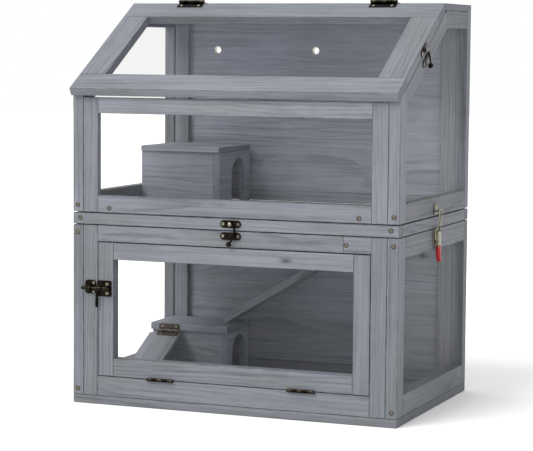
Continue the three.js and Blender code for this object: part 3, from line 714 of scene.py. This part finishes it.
def build_door():
    body = "front_door"
    dx, dy, dz = limits("door_frame")
    hx, _, hz = limits("door_pane")
    boards(body, "door_frame", [
        ("door_stile_left", (dx[0], hx[0]), dy, dz, "z", "rift", 0.94),
        ("door_stile_right", (hx[1], dx[1]), dy, dz, "z", "flat", 0.90)])
    board("door_top_rail", body, hx, dy, (hz[1], dz[1]), "x", "rift", 1.0,
          knot=(DOOR_KNOT[0] - (hx[0] + hx[1]) / 2, DOOR_KNOT[1] - (hz[1] + dz[1]) / 2))
    board("door_bottom_rail", body, hx, dy, (dz[0], hz[0]), "x", "rift", 0.95)


# ---------------- ring and floor
def build_ring():
    body = RING
    rx, ry, rz = limits("ring_frame")
    inner = (ry[0] + BOARD, ry[1] - BOARD)
    boards(body, "ring_frame", [
        ("ring_front", rx, (ry[0], inner[0]), rz, "x", "rift", 1.0),
        ("ring_back", rx, (inner[1], ry[1]), rz, "x", "flat"),
        ("ring_side_right", (rx[1] - BOARD, rx[1]), inner, rz, "y", "quarter", 0.82),
        ("ring_side_left", (rx[0], rx[0] + BOARD), inner, rz, "y", "rift")])
    fx, fy, fz = limits("upper_floor")
    (_, ramp_x1), (ramp_y0, _), _ = limits("long_ramp")
    seam = ramp_y0 - 4
    wide = (seam - fy[0]) / 3
    places = [(fx, (fy[0] + i * wide, fy[0] + (i + 1) * wide)) for i in range(3)]
    places += [((fx[0], RAMP_HOLE_X), (seam, fy[1])), ((ramp_x1 + 1, fx[1]), (seam, fy[1]))]
    boards(body, "upper_floor", [(f"upper_floor_board_{i + 1}", x, y, fz, "x", "flat")
                                 for i, (x, y) in enumerate(places)], bevel=0.5, mat=FIR_PANEL_PAINTED_LIGHT)


# ---------------- upper storey
def lid_under(y):
    return TOP_Z1 - (RIDGE_Y - y) * tan(SLOPE) - LID_T / cos(SLOPE)


def build_upper():
    body = UPPER
    fx, fy, fz = limits("upper_front_frame")
    px, _, pz = limits("upper_front_pane")
    boards(body, "upper_front_frame", [
        ("upper_front_stile_left", (fx[0], px[0]), fy, fz, "z", "rift", 0.98),
        ("upper_front_stile_right", (px[1], fx[1]), fy, fz, "z", "rift", 1.02),
        # The 1.26 is painted light, lifting the shade under the lid's eave.
        ("upper_front_top_rail", px, fy, (pz[1], fz[1]), "x", "rift", 1.26),
        ("upper_front_bottom_rail", px, fy, (fz[0], pz[0]), "x", "flat", 0.99)])

    y0, y1 = -HALF_D + SIDE_FRONT_STILE, HALF_D - SIDE_BACK_STILE
    z0, z1 = UPPER_SIDE_HOLE_Z
    front, high = (lid_under(y) - LID_GAP for y in (-HALF_D, y0))
    top = SIDE_TOP_Z
    low = high - SLOPED_RAIL_W / cos(SLOPE)
    top_y = RIDGE_Y - (TOP_Z1 - LID_T / cos(SLOPE) - LID_GAP - top) / tan(SLOPE)
    rail_y = y0 + (z1 - low) / tan(SLOPE)
    for end in ("right", "left"):
        node_name = f"upper_side_frame_{end}"
        sx, _, (foot, _) = limits(node_name)
        parts = [
            ("front_stile", [(-HALF_D, foot), (y0, foot), (y0, high), (-HALF_D, front)], 1, "rift", None),
            ("back_stile", [(y1, foot), (HALF_D, foot), (HALF_D, top), (y1, top)], 1, "quarter", 0.84),
            ("bottom_rail", [(y0, foot), (y1, foot), (y1, z0), (y0, z0)], 0, "flat", 0.74),
            ("top_rail", [(rail_y, z1), (y1, z1), (y1, top), (top_y, top)], 0, "rift", 0.74)]
        for i, (part, outline, *look) in enumerate(parts):
            yz_board(f"upper_side_{part}_{end}", body, outline, sx, *look, replaced=() if i else [node_name])
        points = [Vector((sx[0], y, z)) for y, z in ((y0, low), (rail_y, z1), (top_y, top), (y0, high))]
        sloped_board(f"upper_side_sloped_rail_{end}", body, points, SLOPE, sx[1] - sx[0], Y, tone=0.88)

    back_frame("upper", body, BOARD, planks=3, vents=VENTS)
    for i, (x, z) in enumerate(VENTS):
        bm = bmesh.new()
        profile = [(7.9, 0), (7.9, 9.8), (6.6, 9.8), (6.6, 0), (7.9, 0)]
        add_lathe(bm, profile, basis((x, HALF_D - 0.1, z), X, Z), 32)
        finish_mesh(bm, f"vent_rim_{i + 1}", body, [STEEL], None)
    boards(body, "top_board", [("top_board_plank", *limits("top_board"), "x", "rift", 1.0)], bevel=1.0)
    boards(body, "top_cross_rail", [("cross_rail", *limits("top_cross_rail"), "x", "quarter", 1.03)])


def build_lid():
    body = "lid"
    place = moved(0, RIDGE_Y, TOP_Z1) @ Matrix.Rotation(SLOPE, 4, "X")
    # Cross-sections run along X, so the outline is in the lid's own (y, z) plane.
    ridge_top = -0.3 / cos(SLOPE)
    ridge_under = (-0.3 - LID_T * sin(SLOPE)) / cos(SLOPE)
    along_x = place @ basis((-HALF_W, 0, 0))
    inner = -LID_LEN + LID_FRAME_W
    outline = [(-LID_FRAME_W, -LID_T), (ridge_under, -LID_T), (ridge_top, 0), (-LID_FRAME_W, 0)]
    plank("lid_top_rail", body, outline, 2 * HALF_W, along_x, 2, "rift", 1.0, replaced=["lid_frame"])
    plank("lid_bottom_rail", body, [(-LID_LEN, -LID_T), (inner, -LID_T), (inner, 0), (-LID_LEN, 0)],
          2 * HALF_W, along_x, 2, "rift", 1.02)
    for end, x in (("left", -HALF_W), ("right", HALF_W - LID_FRAME_W)):
        outline = [(x, inner), (x + LID_FRAME_W, inner), (x + LID_FRAME_W, -LID_FRAME_W), (x, -LID_FRAME_W)]
        plank(f"lid_stile_{end}", body, outline, LID_T, place @ moved(0, 0, -LID_T), 1, "rift", 0.99)


# ---------------- hides and ramps
def arch_outline(ys, zs, centre, r, spring):
    """A wall with a doorway that is round above its spring line."""
    arch = [(centre + r * cos(a), spring + r * sin(a)) for a in (pi - pi * i / 24 for i in range(25))]
    return ([(ys[0], zs[0]), (centre - r, zs[0])] + arch
            + [(centre + r, zs[0]), (ys[1], zs[0]), (ys[1], zs[1]), (ys[0], zs[1])])


def build_hides():
    for body, node_name in ((LOWER, "hide_roof"), (RING, "upper_hide_roof")):
        row = (f"{node_name}_board", *limits(node_name), "x", "rift", 0.95)
        boards(body, node_name, [row], mat=FIR_PANEL_PAINTED_LIGHT)
    # Their factors above one are painted light, lifting the shade inside the lower storey.
    boards(LOWER, "hide_front_wall", [("hide_front_board", *limits("hide_front_wall"), "x", "rift", 1.08)],
           mat=FIR_PANEL_PAINTED_LIGHT)
    ax, ay, az = limits("hide_arch_wall")
    yz_board("hide_arch_board", LOWER, arch_outline(ay, az, 132, 30.5, 57), ax, 0, "rift", 1.15, mat=FIR_PANEL_PAINTED_LIGHT,
             replaced=["hide_arch_wall"])
    ux, uy, uz = limits("upper_hide_walls")
    side_x = ux[1] - HIDE_WALL_T
    yz_board("upper_hide_arch_board", RING, arch_outline(uy, uz, 125, 32, uz[0] + 55), (side_x, ux[1]), 0,
             "rift", mat=FIR_PANEL_PAINTED_LIGHT, replaced=["upper_hide_walls"])
    board("upper_hide_front_board", RING, (ux[0], side_x), (uy[0], uy[0] + HIDE_WALL_T), uz, "x", "rift",
          mat=FIR_PANEL_PAINTED_LIGHT)


def build_ramps():
    lx, ly, lz = limits("long_ramp")
    x0, z0 = RAMP_FOOT
    end_z = z0 + (lx[1] - x0) * tan(RAMP_SLOPE)
    places = [(x0, z0), (lx[1], end_z), (lx[1], lz[1]),
              (x0 - RAMP_T * sin(RAMP_SLOPE), z0 + RAMP_T * cos(RAMP_SLOPE))]
    points = [Vector((x, ly[1], z)) for x, z in places]
    sloped_board("long_ramp_board", LOWER, points, RAMP_SLOPE, ly[1] - ly[0], X, mat=FIR_PANEL_PAINTED_LIGHT,
                 tone=1.03, replaced=["long_ramp"])

    h = HIDE["h"]
    axis = Vector((0, HIDE_PIN[0] - h, HIDE_PIN[1]))
    x0, x1 = limits("hide_ramp")[0]
    length = (axis.z - HIDE_RAMP_FOOT_Z - h - HIDE_RAMP_T - 0.5) / sin(HIDE_RAMP_SLOPE)
    place = moved(*axis) @ Matrix.Rotation(HIDE_RAMP_SLOPE, 4, "X") @ moved(0, 0, -h - 0.3 - HIDE_RAMP_T)
    # The 1.2 is painted light, lifting the ramp out of the shade inside the lower storey.
    plank("hide_ramp_board", "hide_ramp", [(x0, -length), (x1, -length), (x1, -3.6), (x0, -3.6)], HIDE_RAMP_T,
          place, 1, "flat", 1.2, replaced=["hide_ramp"])


# ---------------- panes
def build_panes():
    for name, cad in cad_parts.items():
        if name.endswith("_pane") or "_pane_" in name:
            cad.data.materials.clear()
            cad.data.materials.append(LID_CLEAR if name.startswith("lid") else CLEAR)
            soft = cad.modifiers.new("edge", "BEVEL")
            soft.width = 0.0003
            soft.segments = 2
            soft.limit_method = "ANGLE"


# ---------------- ironmongery
def rounded(x0, x1, y0, y1, r, steps=5):
    """Outline of a rectangle with rounded corners."""
    points = []
    x0, x1, y0, y1 = x0 + r, x1 - r, y0 + r, y1 - r
    for cx, cy, start in ((x1, y1, 0), (x0, y1, 90), (x0, y0, 180), (x1, y0, 270)):
        for i in range(steps + 1):
            a = radians(start + 90 * i / steps)
            points.append((cx + r * cos(a), cy + r * sin(a)))
    return points


def add_plate(bm, outline, z0, z1, matrix, bevel=0.3):
    add_prism(bm, outline, z1 - z0, matrix @ moved(0, 0, z0), bevel)


def hinge_leaf(node_name, body, matrix, spec, own, pin, metal):
    """One leaf in the hinge's own frame: pin along X, plate towards +Y, its back h below the pin."""
    length, barrel, leaf_w, t, h = (spec[k] for k in ("length", "barrel", "leaf", "t", "h"))
    bm = bmesh.new()
    half = length / 2
    start = barrel + 0.5
    add_plate(bm, rounded(-half, half, start, leaf_w, 1.6), -h, -h + t, matrix, 0.25)
    step = length / 5
    for k in own:
        x0 = -half + k * step + 0.15
        x1 = x0 + step - 0.3
        neck = [(x0, 0.0), (x1, 0.0), (x1, start + 1.0), (x0, start + 1.0)]
        add_plate(bm, neck, -h, -h + t, matrix, 0.1)
        w, r, e = x1 - x0, barrel, 0.3
        knuckle = [(0, 0), (r - e, 0), (r, e), (r, w - e), (r - e, w), (0, w)]
        add_lathe(bm, knuckle, matrix @ basis((x0, 0, 0)), 20)
    if pin:
        w, r, e = length + 0.4, barrel * 0.42, 0.3
        rod = [(0, 0), (r * 0.7, 0), (r, e), (r, w - e), (r * 0.7, w), (0, w)]
        add_lathe(bm, rod, matrix @ basis((-half - 0.2, 0, 0)), 12)
    for x in spec["screws"]:
        turn = matrix @ moved(x, (start + leaf_w) / 2 + 0.4, -h + t) @ Matrix.Rotation(x, 4, "Z")
        add_screw(bm, turn, spec["screw_r"] * MM, mat=1)
    finish_mesh(bm, node_name + "_plate", body, [metal, spec["screw_mat"]], spec["slot"], [node_name])


def hinge(name, bodies, spec, pin, angles, metal, end=""):
    """A fixed and a moving leaf about a pin at (y, z), each turned by its angle about the pin."""
    fixed, moving = (f"{name}_hinge_{part}{end}" for part in ("fixed", "leaf"))
    x0, x1 = limits(fixed)[0]
    at = moved((x0 + x1) / 2, *pin)
    hinge_leaf(fixed, bodies[0], at @ Matrix.Rotation(angles[0], 4, "X"), spec, (0, 2, 4), True, metal)
    # The moving leaf points the other way along Y, keeping the same underside.
    second = at @ Matrix.Rotation(angles[1], 4, "X") @ Matrix.Scale(-1, 4, Y)
    hinge_leaf(moving, bodies[1], second, spec, (1, 3), False, metal)


def build_hinges():
    h = BIG["h"]
    lift = h / cos(SLOPE / 2)
    ridge = (RIDGE_Y - lift * sin(SLOPE / 2), TOP_Z1 + lift * cos(SLOPE / 2))
    rear = (HALF_D + h, RING_SEAM_Z)
    door = (-HALF_D - DOOR_PIN[0], DOOR_PIN[1])
    for end in ("_left", "_right"):
        hinge("door", (LOWER, "front_door"), DOOR, door, (0, pi), BLACK, end)
        hinge("rear", (LOWER, RING), BIG, rear, (-pi / 2, -pi / 2), BLACK, end)
        hinge("lid", (UPPER, "lid"), BIG, ridge, (0, SLOPE), BLACK, end)
    hinge("hide", (LOWER, "hide_ramp"), HIDE, (HIDE_PIN[0] - HIDE["h"], HIDE_PIN[1]),
          (pi / 2, HIDE_RAMP_SLOPE), BRONZE)


def build_latch(prefix, bodies, node_names, place, turn=0.0):
    """Swing hook: pivot plate, catch plate and hook, in a frame with X right, Y up and Z out."""
    rivet = [(0, 1.5), (1.9, 1.5), (1.9, 5.6), (3.0, 5.9), (3.2, 6.5), (2.6, 7.1), (1.2, 7.35), (0, 7.4)]
    stud = [(0, 1.4), (3.0, 1.4), (3.0, 1.8), (2.3, 2.3), (0, 2.3)]
    for name, y, profile, mat in (("pivot", 0, rivet, 1), ("catch", -HOOK_DROP, stud, 0)):
        bm = bmesh.new()
        at = place @ moved(0, y, 0)
        add_plate(bm, rounded(-19, 19, -6.5, 6.5, 6.4, 8), 0.1, SCREW_Z, at, 0.45)
        for x, metal, slots in ((-14, 1, 2), (14, 2, 4)):
            head = at @ moved(x, 0, SCREW_Z) @ Matrix.Rotation(0.6, 4, "Z")
            add_screw(bm, head, 2.8 * MM, mat=metal, slots=slots, proud=0.0007)
        add_lathe(bm, profile, at, mat=mat)
        finish_mesh(bm, f"{prefix}_{name}_plate", bodies[name], [BLACK, STEEL, SCREW], IRON,
                    [node_names[name]])
    bm = bmesh.new()
    turned = place @ Matrix.Rotation(turn, 4, "Z")
    # Across, down and how far the wire has risen towards the knob.
    route = [(3.0, -0.6, 0), (6.0, -4, 0), (7.9, -9.5, 0), (8.0, -16, 0.2), (6.3, -22.5, 0.5),
             (2.9, -28.5, 0.8), (-1.2, -33.4, 1)]
    wire = smooth_path([(x, y, HOOK_OUT + share * (KNOB_OUT - HOOK_OUT)) for x, y, share in route])
    add_tube(bm, wire, lambda t: (1.75 - 0.35 * abs(2 * t - 1)) * MM, turned, 14)
    eye = [(2.2, -1.0), (3.9, -1.0), (4.3, -0.5), (4.3, 0.5), (3.9, 1.0), (2.2, 1.0), (2.2, -1.0)]
    add_lathe(bm, [(r, HOOK_OUT + h) for r, h in eye], turned)
    ball = [(KNOB_R * sin(a), -KNOB_R * cos(a)) for a in (pi * i / 14 for i in range(15))]
    add_lathe(bm, ball, turned @ moved(-1.5, -34.2, KNOB_OUT), 20)
    finish_mesh(bm, f"{prefix}_hook_piece", bodies["hook"], [BLACK], IRON, [node_names["hook"]])


def build_latches():
    build_latch("front_latch", {"pivot": RING, "hook": "front_hook", "catch": LOWER},
                {"pivot": "front_hook_plate", "hook": "front_hook", "catch": "front_catch_plate"},
                basis((0, -HALF_D, FRONT_HOOK_Z), X, Z))
    z = lid_under(LID_HOOK_Y) + LID_T / 2 / cos(SLOPE)
    place = basis((HALF_W, LID_HOOK_Y, z), (0, cos(SLOPE), sin(SLOPE)), (0, -sin(SLOPE), cos(SLOPE)))
    build_latch("lid_latch", {"pivot": "lid", "hook": "lid_hook", "catch": UPPER},
                {"pivot": "lid_hook_plate", "hook": "lid_hook", "catch": "lid_catch_plate"},
                place, LID_HOOK_TURN)


def bolt_arc(r, degrees):
    return [(BOLT_Y + r * cos(radians(a)), BOLT_Z + r * sin(radians(a))) for a in degrees]


def build_bolt():
    front = basis((0, -HALF_D, 0), X, Z)  # local Z points out of the front
    foot = -HALF_D - 1.0
    bm = bmesh.new()
    add_plate(bm, rounded(-252.4, -225, 191, 219, 2.2), 0.3, SCREW_Z, front, 0.35)
    # The guide is pressed up over the bolt: a half-round hood with a flange under and over it.
    turns = [90 + 135 * i / 14 for i in range(15)]
    hood = [(foot, BOLT_Z + 4.8)] + bolt_arc(4.8, turns)
    hood += bolt_arc(3.6, reversed(turns)) + [(foot, BOLT_Z + 3.6)]
    for x0, x1 in ((-249, -242), (-240.5, -229)):
        add_prism(bm, hood, x1 - x0, basis((x0, 0, 0)), 0.25)
    for z in (212.5, 197.0):
        add_screw(bm, front @ moved(-233.5, z, SCREW_Z), 2.9 * MM, mat=1, proud=0.0008)
    finish_mesh(bm, "bolt_guide_plate", "front_door", [BLACK, STEEL], IRON, ["bolt_plate"])

    bm = bmesh.new()
    rod = [(0, 0), (1.6, 0), (2.6, 0.7), (3.0, 2.0), (3.0, 53.2), (2.5, 54), (0, 54)]
    add_lathe(bm, rod, basis((-281, BOLT_Y, BOLT_Z)))
    grip = [(0, 0), (1.7, 0.15), (2.3, 1.0), (2.6, 4), (2.55, 9), (2.2, 15), (1.9, 19), (2.2, 20.5),
            (2.2, 22), (1.5, 23), (1.4, 33), (0, 33)]
    add_lathe(bm, grip, moved(-251, BOLT_Y, 172), 20)
    finish_mesh(bm, "bolt_slide", "door_bolt", [BLACK], IRON, ["bolt_rod"])

    bm = bmesh.new()
    add_plate(bm, rounded(-276, -254.5, 195, 219, 6.0, 7), 0.3, SCREW_Z, front, 0.35)
    strap = [(foot, BOLT_Z + 4.9)] + bolt_arc(4.9, range(90, 271, 15)) + [(foot, BOLT_Z - 4.9)]
    strap += [(foot, BOLT_Z - 3.7)] + bolt_arc(3.7, range(270, 89, -15)) + [(foot, BOLT_Z + 3.7)]
    add_prism(bm, strap, 8, basis((-270, 0, 0)), 0.25)
    for z in (214, 198.5):
        add_screw(bm, front @ moved(-259.5, z, SCREW_Z), 2.4 * MM, mat=1, proud=0.0007)
    finish_mesh(bm, "bolt_keeper_piece", LOWER, [BLACK, STEEL], IRON, ["bolt_keeper"])


def build_toggle(end, sign):
    """An over-centre toggle in a frame with X across the latch (along Y), Y up and Z out of the side."""
    pivot_z, pivot_o = TOGGLE_PIVOT
    place = basis((sign * HALF_W, TOGGLE_Y, 0), Y * sign, Z)
    bm = bmesh.new()
    add_plate(bm, rounded(-10, 10, 287, 315.2, 2.5), 0.3, SCREW_Z, place)
    for x0 in (-9.5, 8.3):
        ear = rounded(pivot_z - 4.5, pivot_z + 4.5, 1.0, 10.0, 2.2)
        add_plate(bm, ear, 0, 1.2, place @ basis((x0, 0, 0)), 0.25)
    pin = [(0, 0), (2.4, 0.2), (2.4, 0.7), (1.5, 0.7), (1.5, 19.7), (2.4, 19.7), (2.4, 20.2), (0, 20.4)]
    add_lathe(bm, pin, place @ basis((-10.2, pivot_z, pivot_o)), 16)
    add_screw(bm, place @ moved(0, 291, SCREW_Z), 2.2 * MM, mat=1)
    finish_mesh(bm, f"toggle_base_plate_{end}", LOWER, [ZINC, STEEL], "zinc_toggle",
                [f"toggle_base_{end}"])

    bm = bmesh.new()
    for x0 in (-6.8, 5.6):
        add_plate(bm, [(x0, 288), (x0 + 1.2, 288), (x0 + 1.2, 311), (x0, 311)], 2.8, 9.2, place)
    add_plate(bm, rounded(-6.8, 6.8, 282, 312, 2.0), 8.4, 9.8, place, 0.35)
    add_plate(bm, rounded(-3.4, 3.4, 290, 305, 1.5), 9.7, 10.3, place)
    sleeve = [(1.9, 0), (2.7, 0), (2.9, 0.3), (2.9, 14.7), (2.7, 15), (1.9, 15), (1.9, 0)]
    add_lathe(bm, sleeve, place @ basis((-7.5, pivot_z, pivot_o)), 20)
    spine = [(286.5, 7.4), (281, 7.2), (275, 7.2), (269, 7.6), (264, 8.5), (260.5, 9.7)]
    add_tube(bm, smooth_path([(0, z, o) for z, o in spine]), lambda t: (4.1 - 0.5 * t ** 2) * MM, place, 20,
             mat=1, flat=1.62, normal=Z, power=0.72)
    lever = f"toggle_lever_{end}"
    finish_mesh(bm, f"toggle_lever_piece_{end}", lever, [ZINC, RED], "zinc_toggle", [lever])

    bm = bmesh.new()
    corners = [(-a, z, o) for a, z, o in BAIL_LEG] + BAIL_LEG[::-1]
    add_tube(bm, rounded_loop(corners, 2.4 * MM), 1.25 * MM, place, closed=True)
    bail = f"toggle_bail_{end}"
    finish_mesh(bm, f"toggle_wire_{end}", bail, [ZINC], "zinc_toggle", [bail])

    bm = bmesh.new()
    add_plate(bm, rounded(-8, 8, 341, 359, 3.0), 0.3, SCREW_Z, place)
    curl = [(345.5, 1.2), (348.3, 1.2), (347.6, 5.5), (348.2, 7.4), (350.2, 8.4), (347.6, 8.6), (345.6, 7.0)]
    add_plate(bm, curl, 0, 10, place @ basis((-5, 0, 0)))
    for x in (-4.6, 4.6):
        add_screw(bm, place @ moved(x, 355, SCREW_Z), 1.9 * MM, mat=1)
    finish_mesh(bm, f"toggle_keeper_piece_{end}", UPPER, [OLIVE, STEEL], "zinc_toggle",
                [f"toggle_keeper_{end}"])


def build_screws():
    """Countersunk screws in the boards of the front, grouped by the body they hold."""
    groups = {
        LOWER: [(x, z) for x in (-291, 291) for z in (302, 25)] + [(208, 301)],
        RING: [(x, 328) for x in (-286, 286)],
        UPPER: [(x, 350) for x in (-291, 291)] + [(x, 346) for x in (-230, 230)],
    }
    # A thin black ring round each head is painted shade of the recess the screw sits in.
    recess_shade_ring = [(3.2, 0.05), (4.3, 0.05), (4.1, 0.2), (3.2, 0.2), (3.2, 0.05)]
    for body, places in groups.items():
        bm = bmesh.new()
        for x, z in places:
            turn = basis((x, -HALF_D - 0.05, z), X, Z) @ Matrix.Rotation(x + z, 4, "Z")
            add_lathe(bm, recess_shade_ring, turn, mat=1)
            add_screw(bm, turn, 3.3 * MM)
        finish_mesh(bm, f"board_screws_{body}", body, [SCREW, BLACK], None)


# ---------------- stage, light and camera
def build_stage():
    t = Shading("pale_floor")
    colour = t.blend(t.noise(t.place(), 3.0, 2.0), (0.90, 0.90, 0.90, 1), (0.92, 0.92, 0.92, 1))
    mesh = bpy.data.meshes.new("floor")
    s = FLOOR_HALF
    mesh.from_pydata([(-s, -s, 0), (s, -s, 0), (s, s, 0), (-s, s, 0)], [], [(0, 1, 2, 3)])
    mesh.materials.append(t.finish(t.principled(colour, 0.9, Specular_IOR_Level=0.1)))
    floor = add_object("floor", mesh)
    floor.location.z = -0.0005

    world = bpy.data.worlds.new("studio")
    bpy.context.scene.world = world
    world.use_nodes = True
    background = world.node_tree.nodes["Background"]
    background.inputs[0].default_value = (1.0, 1.0, 1.0, 1)
    background.inputs[1].default_value = 1.0

    data = bpy.data.lights.new("key", "SUN")
    data.energy = KEY_STRENGTH
    data.angle = KEY_ANGLE
    data.color = (1.0, 0.995, 0.985)
    key = add_object("key", data)
    key.rotation_euler = Vector(KEY_FROM).to_track_quat("Z", "Y").to_euler()


def build_camera():
    yaw, pitch, roll = CAMERA_TURN
    forward = Vector((-sin(yaw) * cos(pitch), cos(yaw) * cos(pitch), -sin(pitch)))
    right = Vector((cos(yaw), sin(yaw), 0))
    up = right.cross(forward)
    side = right * cos(roll) + up * sin(roll)
    top = up * cos(roll) - right * sin(roll)
    data = bpy.data.cameras.new("camera")
    data.sensor_width = 36
    data.lens = CAMERA_LENS
    data.clip_start = 0.05
    data.clip_end = 100
    cam = add_object("camera", data)
    m = Matrix((side, top, -forward)).transposed().to_4x4()
    m.translation = Vector(CAMERA_AT)
    cam.matrix_world = m
    bpy.context.scene.camera = cam
    view = bpy.context.scene.view_settings
    view.view_transform = "Standard"
    view.look = "None"


build_lower()
build_door()
build_ring()
build_upper()
build_lid()
build_hides()
build_ramps()
build_panes()
build_hinges()
build_latches()
build_bolt()
build_toggle("right", 1)
build_toggle("left", -1)
build_screws()
build_stage()
build_camera()
